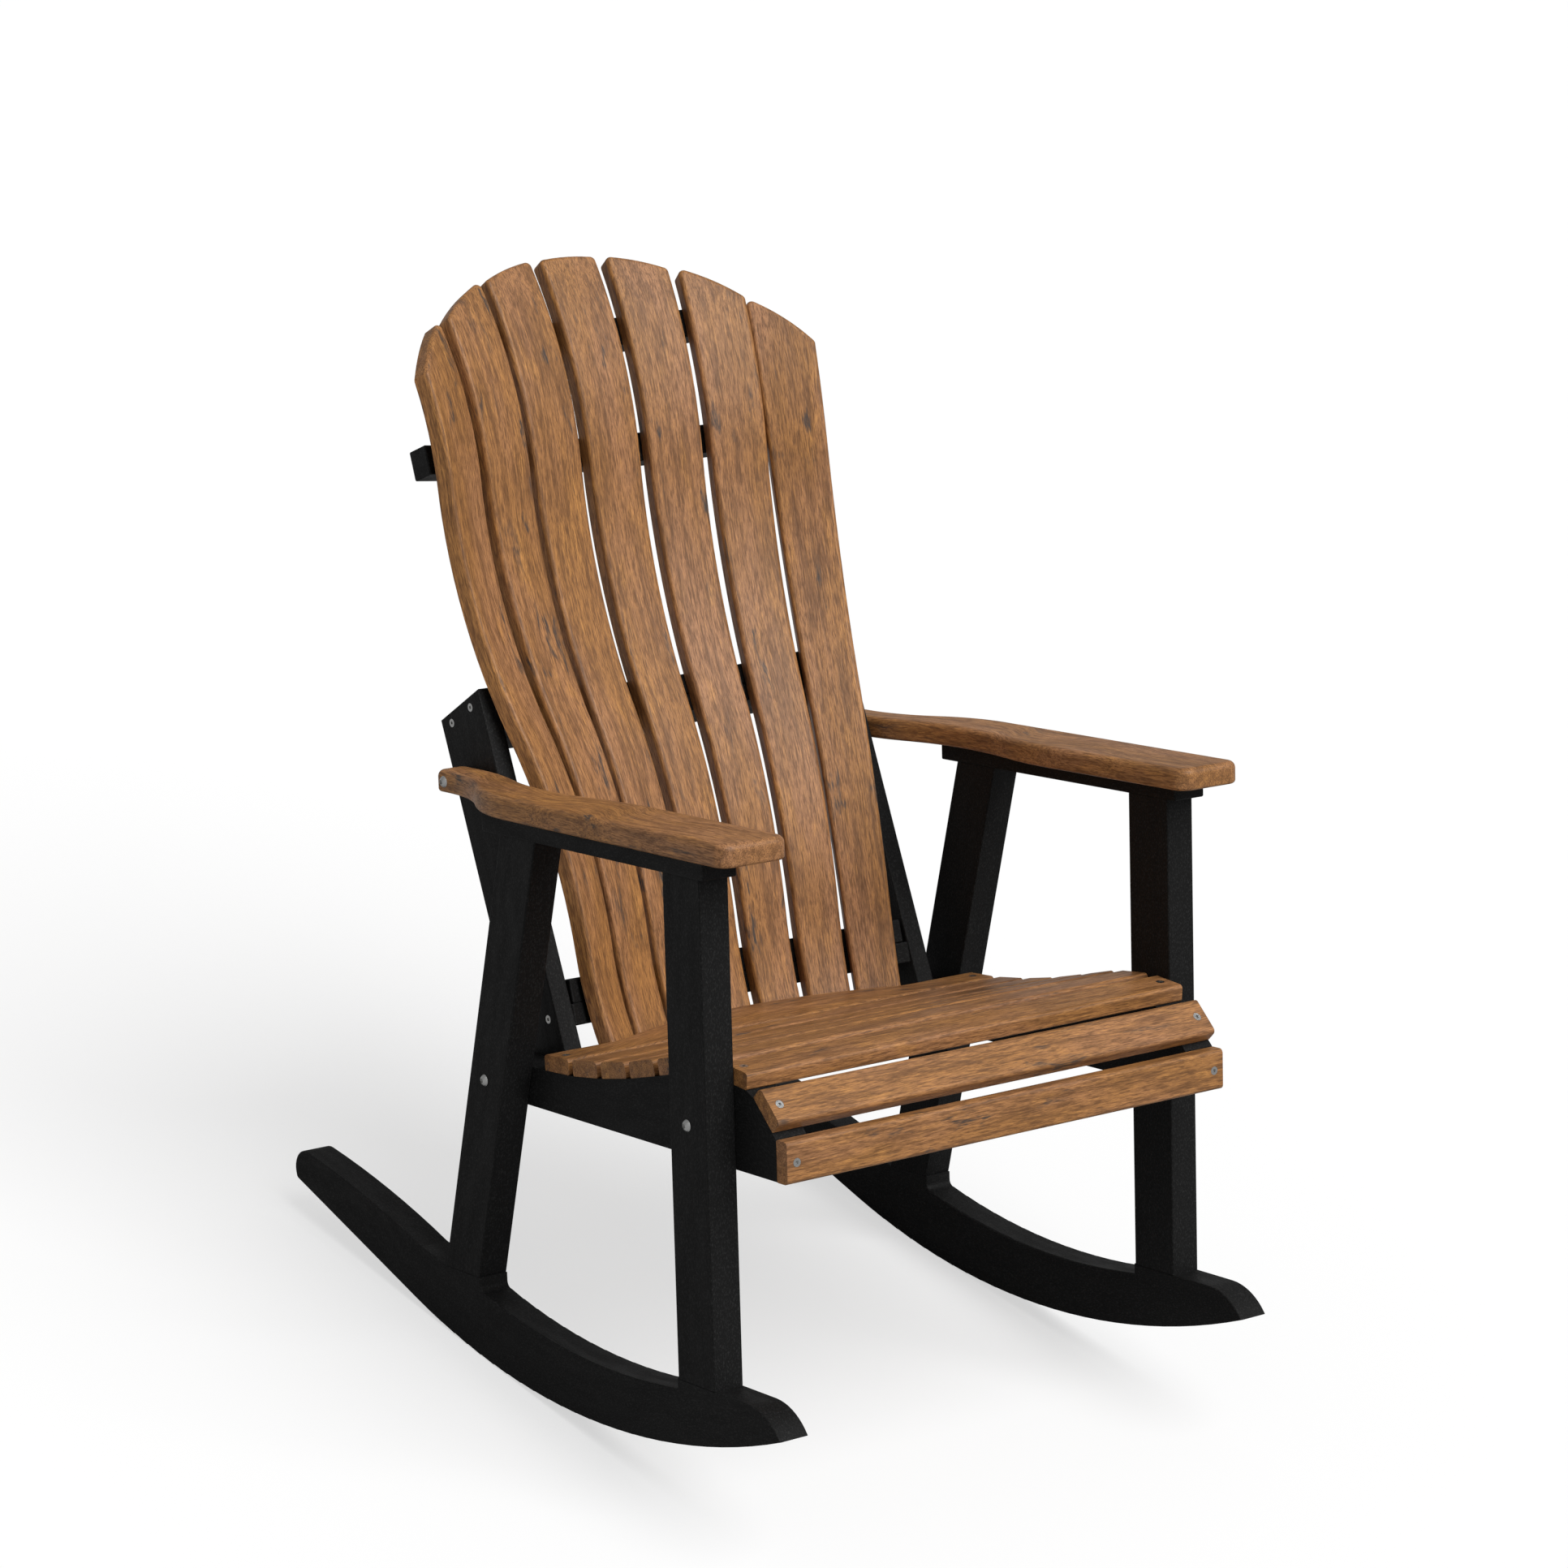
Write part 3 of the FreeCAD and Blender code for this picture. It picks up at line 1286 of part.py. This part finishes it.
def back_fasteners(rails, short_screw):
    """Screws of the back: rails into slats, uprights into boards, strips onto boards."""
    screw = make_screw("back_screw", size["back_screw_length"])
    inner_words = (None, "one", "two")
    every_word = (None, "one", "two", "three")
    slat_spots = []
    for word, height in rail_heights.items():
        words = inner_words if word == "top" else every_word
        slat_spots += slat_screw_spots(rails[word], height, words)
    upright_spots = []
    for rail in (rails["middle_board"], rails["lower_board"]):
        end = crosspiece_front(rail.radius, rail.half)
        for behind in ("upright_screw_front", "upright_screw_rear"):
            for name, side in SIDES:
                spot = place(side * seat_rail_inner, end + size[behind], -rail.tall / 2,
                             facing_side(side))
                upright_spots.append("%s * %s" % (rail.spot, spot))
    strip_spots = []
    for name, side in SIDES:
        for across in (side * size["strip_screw_near"], side * size["strip_screw_far"]):
            behind = size["strip_screw_back"]
            under = rails["middle_strip"]
            strip_spots.append(under.local(across, behind, -under.tall, turn("x", HALF_TURN)))
            strip_spots.append(rails["lower_strip"].local(across, behind, 0))
    return {
        "slat": fastened("back_slat_screws", screw, slat_spots),
        "upright": fastened("upright_screws", screw, upright_spots),
        "strip": fastened("strip_screws", short_screw, strip_spots),
    }


def make_seat(boards, nosing, apron, seat):
    width = size["seat_slat_width"]
    thickness = size["seat_slat_thickness"]
    for number, board in enumerate(boards):
        holes = seat["under"] if 0 < number < 6 else seat["seat"]
        make = make_board if number else make_rear_slat
        make("seat_slat_%d" % (number + 1), width, thickness, board, [holes])
    make_board("seat_nosing", size["nosing_width"], size["nosing_thickness"],
               nosing, [seat["nosing"]])
    make_board("seat_apron", size["apron_height"], size["apron_thickness"],
               apron, [seat["apron"]])


def make_side(word, side, seat, bolts, frame, back):
    """One side of the chair: rocker, legs, seat rail, arm and back upright."""
    make_rocker(word + "_rocker", side, [frame["rocker"]])
    leg_holes = [frame["rocker"], frame["arm_rail"]]
    make_leg(word + "_front_leg", side, front_leg_corners(), leg_holes + [bolts["front_leg"]])
    make_leg(word + "_rear_leg", side, rear_leg_corners(), leg_holes + [bolts["rear_leg"]])
    make_arm_rail(word + "_arm_rail", side, [frame["arm_rail"], frame["arm"]])
    make_armrest(word + "_armrest", side, [frame["arm"], bolts["arm"]])
    make_seat_rail(word + "_seat_rail", side,
                   list(seat.values()) + [bolts["front_leg"], bolts["rear_leg"]])
    make_upright(word + "_back_upright", side,
                 [bolts["rear_leg"], bolts["arm"], back["upright"]])


def make_back(rails, back):
    for name, side, word in fan_slats():
        make_back_slat(name, side, word, [back["slat"]])
    rails["top"].make([back["slat"]])
    rails["upper"].make([back["slat"]])
    for word in ("middle_board", "lower_board"):
        rails[word].make([back["slat"], back["upright"], back["strip"]])
    for word in ("middle_strip", "lower_strip"):
        rails[word].make([back["strip"]])


def main():
    make_stance()
    boards = board_places()
    nosing = place(0, nosing_back, nosing_top, turn("x", -size["nosing_tilt"]))
    apron = place(0, apron_rear, apron_top, turn("x", RIGHT_ANGLE))
    rails = back_rails()
    screw = make_screw("deck_screw", size["screw_length"])
    short_screw = make_screw("short_screw", size["short_screw_length"])
    seat = seat_fasteners(boards, nosing, apron, screw)
    bolts = bolt_fasteners()
    frame = frame_fasteners(short_screw, screw)
    back = back_fasteners(rails, short_screw)
    make_seat(boards, nosing, apron, seat)
    for word, side in SIDES:
        make_side(word, side, seat, bolts, frame, back)
    make_back(rails, back)
    for name, shape, spots in fastener_sets:
        finish(name, copies(name + "_set", shape, spots))
    doc.recompute()
    check()
    os.makedirs("parts", exist_ok=True)
    for node in nodes:
        node.Shape.exportStep("parts/%s.step" % node.Label)


def check():
    """Stops with a message if any object failed or any sub-part has no sound shape."""
    for item in doc.Objects:
        if "Invalid" in item.State or "Error" in item.State:
            raise RuntimeError("%s is %s" % (item.Name, item.State))
    for node in nodes:
        if node.Shape.isNull() or not node.Shape.isValid() or not node.Shape.Solids:
            raise RuntimeError("%s has no sound solid" % node.Label)


main()
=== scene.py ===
import math

import bpy
import numpy as np
from mathutils import Matrix, Vector

# Rocking adirondack chair in metres: brown poly lumber slats, seat and arms on a black frame.
# The sitter's left is +X, the back is +Y and the floor is at z 0. The chair stands at its rest,
# rolled back on its rockers. The CAD solids have every form: here they get their materials, a
# pale studio and a camera at the photograph's viewing angle.

BROWN_NODES = ["left_armrest", "right_armrest", "seat_nosing", "seat_apron"]
BROWN_NODES += ["seat_slat_%d" % number for number in range(1, 8)]
BROWN_NODES += ["back_slat_%d" % number for number in range(1, 8)]
BLACK_PARTS = ("rocker", "front_leg", "rear_leg", "seat_rail", "arm_rail", "back_upright")
BLACK_NODES = ["%s_%s" % (side, part) for side in ("left", "right") for part in BLACK_PARTS]
BLACK_NODES += ["top_back_rail", "upper_back_rail", "middle_back_board", "middle_back_strip",
                "lower_back_strip", "lower_back_board"]
STEEL_ENDINGS = ("screws", "bolts", "nuts")

# Colours

BROWN = (0.435, 0.200, 0.063, 1)
HONEY = (0.700, 0.330, 0.092, 1)
ROSY = (0.465, 0.222, 0.098, 1)
UMBER = (0.130, 0.057, 0.022, 1)
SMUDGE = (0.060, 0.047, 0.040, 1)
BLACK = (0.0085, 0.0085, 0.0085, 1)
BLACK_FLECK = (0.024, 0.024, 0.024, 1)
STEEL = (0.56, 0.56, 0.55, 1)
WHITE = (1, 1, 1, 1)
FLOOR_BOUNCE = (0.38, 0.38, 0.38, 1)

# Grain noises: cycles per metre along, across and through a board, then the noise's detail,
# roughness and distortion

FIBRE = ((55, 620, 620), 3, 0.62)
THREAD = ((120, 1500, 1500), 2, 0.6)
STREAK = ((9, 115, 115), 3, 0.55, 0.25)
ZONE = ((4.5, 18, 18), 2, 0.5)
WARMTH = ((11, 34, 34), 3, 0.6)
SMUDGE_MARK = ((16, 62, 62), 3, 0.62, 0.4)
SMUDGE_AREA = ((5, 14, 14), 1, 0.5)
SPECKLE = ((330, 620, 620), 3, 0.65)
CLOUD = ((14, 60, 60), 3, 0.55)
TURNING_MARKS = ((900, 900, 900), 2, 0.5)
GRAIN_SEED = 7
GRAIN_SHIFT = 50

# Nearly all of a noise's values lie between these two

NOISE_LOW = 0.3
NOISE_HIGH = 0.7

# Colour layers of the brown lumber in order: the noise, its values where the layer starts and
# where it is full, how much it then covers, and its colour

BROWN_LAYERS = (
    ("zone", 0.35, 0.68, 1.0, ROSY),
    ("warmth", 0.54, 0.74, 0.62, HONEY),
    ("streak", 0.58, 0.34, 0.58, UMBER),
    ("fibre", 0.55, 0.36, 0.75, UMBER),
    ("fibre", 0.56, 0.72, 0.45, HONEY),
    ("thread", 0.58, 0.40, 0.42, UMBER),
)

# Smudges: noise values where a mark and its area start and are full, and how much of a mark the
# palest and the darkest fibres keep

MARK_START, MARK_FULL = 0.57, 0.68
AREA_START, AREA_FULL = 0.48, 0.58
PALE_FIBRE, PALE_KEEP = 0.70, 0.35
DARK_FIBRE, DARK_KEEP = 0.40, 1.0

# Black flecks: noise values where they start and are full

FLECK_START, FLECK_FULL = 0.48, 0.70

# Roughness at a noise's low and high values, and how strongly each lumber mirrors

BROWN_ROUGHNESS = (0.50, 0.38)
BLACK_ROUGHNESS = (0.46, 0.60)
STEEL_ROUGHNESS = (0.24, 0.40)
BROWN_MIRROR = 0.3
BLACK_MIRROR = 0.10

# Relief: depth of the noise in metres and its strength

FIBRE_RELIEF = (0.0006, 0.55)
STREAK_RELIEF = (0.0010, 0.35)
PORE_RELIEF = (0.0005, 0.6)
CLOUD_RELIEF = (0.0008, 0.3)
MARK_RELIEF = (0.0001, 0.4)

# Bent boards: stations along a board's middle line, and the bend that the grain starts to follow

CURVE_STATIONS = 9
LEAST_BEND = 0.004


# Shader nodes


class Shader:
    """A material's node tree with short calls for the nodes that it needs."""

    def __init__(self, name):
        self.material = bpy.data.materials.new(name)
        self.material.use_nodes = True
        self.tree = self.material.node_tree
        self.surface = self.tree.nodes["Principled BSDF"]
        self.output = self.tree.nodes["Material Output"]

    def node(self, kind, **settings):
        made = self.tree.nodes.new(kind)
        for key, value in settings.items():
            setattr(made, key, value)
        return made

    def link(self, source, target):
        self.tree.links.new(source, target)

    def feed(self, socket, value):
        """Links a socket to another node's output, or sets its number or colour."""
        if isinstance(value, bpy.types.NodeSocket):
            self.link(value, socket)
        else:
            socket.default_value = value

    def math(self, operation, first, second=0.0, clamp=False):
        made = self.node("ShaderNodeMath", operation=operation, use_clamp=clamp)
        self.feed(made.inputs[0], first)
        self.feed(made.inputs[1], second)
        return made.outputs[0]

    def dot(self, vector, axis):
        made = self.node("ShaderNodeVectorMath", operation="DOT_PRODUCT")
        self.link(vector, made.inputs[0])
        made.inputs[1].default_value = axis
        return made.outputs["Value"]

    def joined(self, x, y, z):
        made = self.node("ShaderNodeCombineXYZ")
        for socket, value in zip(made.inputs, (x, y, z)):
            self.feed(socket, value)
        return made.outputs[0]

    def stretched(self, vector, scale, shift=(0, 0, 0)):
        """A vector times a scale for each axis, plus a shift."""
        made = self.node("ShaderNodeVectorMath", operation="MULTIPLY_ADD")
        self.link(vector, made.inputs[0])
        made.inputs[1].default_value = scale
        made.inputs[2].default_value = shift
        return made.outputs[0]

    def noise(self, vector, detail=2.0, roughness=0.5, distortion=0.0):
        made = self.node("ShaderNodeTexNoise")
        self.link(vector, made.inputs["Vector"])
        made.inputs["Scale"].default_value = 1.0
        made.inputs["Detail"].default_value = detail
        made.inputs["Roughness"].default_value = roughness
        made.inputs["Distortion"].default_value = distortion
        return made.outputs["Fac"]

    def grain(self, place, kind, shift=(0, 0, 0)):
        """One of the grain noises at a place, moved along by a shift."""
        frequency, *settings = kind
        return self.noise(self.stretched(place, frequency, shift), *settings)

    def span(self, value, low, high, out_low=0.0, out_high=1.0):
        """Maps low..high to out_low..out_high, clamped, with a smooth step."""
        made = self.node("ShaderNodeMapRange", interpolation_type="SMOOTHSTEP")
        self.feed(made.inputs["Value"], value)
        made.inputs["From Min"].default_value = low
        made.inputs["From Max"].default_value = high
        made.inputs["To Min"].default_value = out_low
        made.inputs["To Max"].default_value = out_high
        return made.outputs["Result"]

    def mix(self, factor, first, second):
        made = self.node("ShaderNodeMix", data_type="RGBA")
        for index, value in ((0, factor), (6, first), (7, second)):
            self.feed(made.inputs[index], value)
        return made.outputs[2]

    def roughen(self, noise, roughness):
        """Spreads the surface's roughness between its values at a noise's low and high."""
        level = self.span(noise, NOISE_LOW, NOISE_HIGH, *roughness)
        self.link(level, self.surface.inputs["Roughness"])

    def bump(self, height, relief, normal=None):
        made = self.node("ShaderNodeBump")
        depth, strength = relief
        made.inputs["Strength"].default_value = strength
        made.inputs["Distance"].default_value = depth
        self.link(height, made.inputs["Height"])
        if normal is not None:
            self.link(normal, made.inputs["Normal"])
        return made.outputs["Normal"]


# Boards


def board_axes(points):
    """Middle of a board, its unit axes along, across and through, and its half length."""
    middle = points.mean(axis=0)
    vectors = np.linalg.eigh(np.cov((points - middle).T))[1]
    along, across, through = (vectors[:, index] for index in (2, 1, 0))
    half = np.abs((points - middle) @ along).max()
    return middle, along, across, through, half


def centre_line(points, middle, along, sideways, half):
    """How far a board's middle strays sideways at even stations along it."""
    lengthways = (points - middle) @ along
    offsets = (points - middle) @ sideways
    edges = np.linspace(-half, half, CURVE_STATIONS)
    reach = half / CURVE_STATIONS
    line = []
    for edge in edges:
        near = offsets[np.abs(lengthways - edge) < reach]
        line.append((near.min() + near.max()) / 2 if len(near) else 0.0)
    return line


def smooth_curve(shader, value, line, limit):
    """A float curve through evenly spaced offsets, given back in metres."""
    made = shader.node("ShaderNodeFloatCurve")
    curve = made.mapping.curves[0]
    count = len(line)
    for index, offset in enumerate(line):
        place = (index / (count - 1), 0.5 + 0.5 * offset / limit)
        if index == 0:
            curve.points[0].location = place
        elif index == count - 1:
            curve.points[count - 1].location = place
        else:
            curve.points.new(*place)
    made.mapping.update()
    shader.feed(made.inputs["Value"], value)
    scaled = shader.math("SUBTRACT", made.outputs[0], 0.5)
    return shader.math("MULTIPLY", scaled, 2 * limit)


def board_coordinates(shader, node_object):
    """Coordinates that run along, across and through a board, bends taken out, in metres."""
    mesh = node_object.data
    points = np.empty(len(mesh.vertices) * 3)
    mesh.vertices.foreach_get("co", points)
    points = points.reshape(-1, 3)
    middle, along, across, through, half = board_axes(points)
    place = shader.node("ShaderNodeTexCoord").outputs["Object"]
    centred = shader.stretched(place, (1, 1, 1), tuple(-middle))
    lengthways = shader.dot(centred, tuple(along))
    station = shader.math("ADD", shader.math("MULTIPLY", lengthways, 0.5 / half), 0.5, True)
    straight = []
    for axis in (across, through):
        offset = shader.dot(centred, tuple(axis))
        line = centre_line(points, middle, along, axis, half)
        limit = max(abs(value) for value in line)
        if limit > LEAST_BEND:
            offset = shader.math("SUBTRACT", offset, smooth_curve(shader, station, line, limit))
        straight.append(offset)
    return shader.joined(lengthways, *straight)


# Materials


def smudges(shader, board, fibre, shift):
    """Where the short dark smudges lie: marks inside some areas, broken up by the fibres."""
    mark = shader.grain(board, SMUDGE_MARK, (shift[1], shift[2], shift[0]))
    area = shader.grain(board, SMUDGE_AREA, (shift[2], shift[0], shift[1]))
    cover = shader.math("MULTIPLY", shader.span(mark, MARK_START, MARK_FULL),
                        shader.span(area, AREA_START, AREA_FULL))
    kept = shader.span(fibre, PALE_FIBRE, DARK_FIBRE, PALE_KEEP, DARK_KEEP)
    return shader.math("MULTIPLY", cover, kept)


def brown_lumber(node_object, draw):
    """Streaked brown poly lumber with fine fibres, honey and rosy zones and dark smudges."""
    shader = Shader("brown_lumber_" + node_object.name)
    board = board_coordinates(shader, node_object)
    shift = tuple(draw.uniform(-GRAIN_SHIFT, GRAIN_SHIFT, 3))
    grains = {
        "fibre": shader.grain(board, FIBRE, shift),
        "thread": shader.grain(board, THREAD, shift),
        "streak": shader.grain(board, STREAK, shift),
        "zone": shader.grain(board, ZONE, shift),
        "warmth": shader.grain(board, WARMTH, tuple(-value for value in shift)),
    }
    colour = BROWN
    for name, start, full, cover, tint in BROWN_LAYERS:
        colour = shader.mix(shader.span(grains[name], start, full, 0, cover), colour, tint)
    colour = shader.mix(smudges(shader, board, grains["fibre"], shift), colour, SMUDGE)
    shader.link(colour, shader.surface.inputs["Base Color"])
    shader.roughen(grains["fibre"], BROWN_ROUGHNESS)
    shader.surface.inputs["Specular IOR Level"].default_value = BROWN_MIRROR
    grooves = shader.bump(grains["fibre"], FIBRE_RELIEF)
    shader.link(shader.bump(grains["streak"], STREAK_RELIEF, grooves),
                shader.surface.inputs["Normal"])
    return shader.material


def black_lumber(node_object, draw):
    """Matte black poly lumber with a fine lengthwise speckle."""
    shader = Shader("black_lumber_" + node_object.name)
    board = board_coordinates(shader, node_object)
    shift = tuple(draw.uniform(-GRAIN_SHIFT, GRAIN_SHIFT, 3))
    speckle = shader.grain(board, SPECKLE, shift)
    cloud = shader.grain(board, CLOUD, shift)
    colour = shader.mix(shader.span(speckle, FLECK_START, FLECK_FULL), BLACK, BLACK_FLECK)
    shader.link(colour, shader.surface.inputs["Base Color"])
    shader.roughen(cloud, BLACK_ROUGHNESS)
    shader.surface.inputs["Specular IOR Level"].default_value = BLACK_MIRROR
    pores = shader.bump(speckle, PORE_RELIEF)
    shader.link(shader.bump(cloud, CLOUD_RELIEF, pores), shader.surface.inputs["Normal"])
    return shader.material


def stainless_steel():
    """Satin stainless steel with faint turning marks."""
    shader = Shader("stainless_steel")
    place = shader.node("ShaderNodeTexCoord").outputs["Object"]
    marks = shader.grain(place, TURNING_MARKS)
    shader.surface.inputs["Base Color"].default_value = STEEL
    shader.surface.inputs["Metallic"].default_value = 1.0
    shader.roughen(marks, STEEL_ROUGHNESS)
    shader.link(shader.bump(marks, MARK_RELIEF), shader.surface.inputs["Normal"])
    return shader.material


def paint(node_object, material):
    mesh = node_object.data
    mesh.materials.clear()
    mesh.materials.append(material)


def paint_chair(nodes):
    draw = np.random.default_rng(GRAIN_SEED)
    for name in BROWN_NODES:
        paint(nodes[name], brown_lumber(nodes[name], draw))
    for name in BLACK_NODES:
        paint(nodes[name], black_lumber(nodes[name], draw))
    steel = stainless_steel()
    for name, node_object in nodes.items():
        if name.endswith(STEEL_ENDINGS):
            paint(node_object, steel)


# Studio: where the lights come from, their power in watts per square metre and their spread in
# degrees, the level of the light all round, and the share of real light in the floor that the
# camera sees

KEY_WAY = (0.15, -0.57, 0.81)
KEY_POWER = 2.75
KEY_SPREAD = 50
FILL_WAY = (-0.75, -0.55, 0.35)
FILL_POWER = 0.15
FILL_SPREAD = 80
AMBIENT = 0.30
SHADOW_SHARE = 0.40
FLOOR_REACH = 30.0
FLOOR_ROUGHNESS = 0.9


def sun(name, way, power, spread):
    """A broad, even light from the direction that way points to."""
    data = bpy.data.lights.new(name, "SUN")
    data.energy = power
    data.angle = math.radians(spread)
    lamp = bpy.data.objects.new(name, data)
    lamp.rotation_euler = Vector(way).to_track_quat("Z", "Y").to_euler()
    bpy.context.scene.collection.objects.link(lamp)


def white_floor():
    """A wide floor, white with a soft shadow to the camera and grey to the light it throws back."""
    shader = Shader("studio_floor")
    path = shader.node("ShaderNodeLightPath")
    tone = shader.mix(path.outputs["Is Camera Ray"], FLOOR_BOUNCE, WHITE)
    shader.link(tone, shader.surface.inputs["Base Color"])
    shader.surface.inputs["Roughness"].default_value = FLOOR_ROUGHNESS
    shader.surface.inputs["Specular IOR Level"].default_value = 0.0
    glow = shader.node("ShaderNodeEmission")
    glow.inputs["Color"].default_value = WHITE
    glow.inputs["Strength"].default_value = 1.0
    share = shader.math("MULTIPLY", path.outputs["Is Camera Ray"], 1.0 - SHADOW_SHARE)
    blend = shader.node("ShaderNodeMixShader")
    shader.link(share, blend.inputs[0])
    shader.link(shader.surface.outputs[0], blend.inputs[1])
    shader.link(glow.outputs[0], blend.inputs[2])
    shader.link(blend.outputs[0], shader.output.inputs["Surface"])
    bpy.ops.mesh.primitive_plane_add(size=2 * FLOOR_REACH)
    floor = bpy.context.object
    floor.name = "studio_floor"
    paint(floor, shader.material)


def studio_world():
    """Even pale light all round, which the camera sees as white."""
    world = bpy.data.worlds.new("studio")
    world.use_nodes = True
    bpy.context.scene.world = world
    tree = world.node_tree
    background = tree.nodes["Background"]
    background.inputs["Color"].default_value = WHITE
    path = tree.nodes.new("ShaderNodeLightPath")
    level = tree.nodes.new("ShaderNodeMapRange")
    level.inputs["To Min"].default_value = AMBIENT
    level.inputs["To Max"].default_value = 1.0
    tree.links.new(path.outputs["Is Camera Ray"], level.inputs["Value"])
    tree.links.new(level.outputs["Result"], background.inputs["Strength"])


# Camera at the photograph's place and angle: its place in metres, its unit directions, and its
# lens and sensor width in millimetres

CAMERA_PLACE = (-3.0184, -3.72055, 2.3662)
CAMERA_RIGHT = (0.795657, -0.596727, 0.104146)
CAMERA_UP = (0.124659, 0.329552, 0.935871)
CAMERA_BACK = (-0.592781, -0.731651, 0.336597)
CAMERA_LENS = 102.96
SENSOR_WIDTH = 36.0


def photo_camera():
    data = bpy.data.cameras.new("camera")
    data.lens = CAMERA_LENS
    data.sensor_width = SENSOR_WIDTH
    camera = bpy.data.objects.new("camera", data)
    turn = Matrix((CAMERA_RIGHT, CAMERA_UP, CAMERA_BACK)).transposed().to_4x4()
    camera.matrix_world = Matrix.Translation(CAMERA_PLACE) @ turn
    bpy.context.scene.collection.objects.link(camera)
    bpy.context.scene.camera = camera


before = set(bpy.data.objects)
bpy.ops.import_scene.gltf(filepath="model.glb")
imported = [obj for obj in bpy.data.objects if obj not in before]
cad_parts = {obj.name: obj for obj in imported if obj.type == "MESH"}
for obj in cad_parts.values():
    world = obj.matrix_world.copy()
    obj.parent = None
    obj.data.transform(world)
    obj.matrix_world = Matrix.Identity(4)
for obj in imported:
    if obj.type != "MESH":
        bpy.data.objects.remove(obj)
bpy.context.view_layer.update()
paint_chair(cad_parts)
photo_camera()
sun("key", KEY_WAY, KEY_POWER, KEY_SPREAD)
sun("fill", FILL_WAY, FILL_POWER, FILL_SPREAD)
white_floor()
studio_world()
bpy.context.scene.view_settings.view_transform = "Standard"
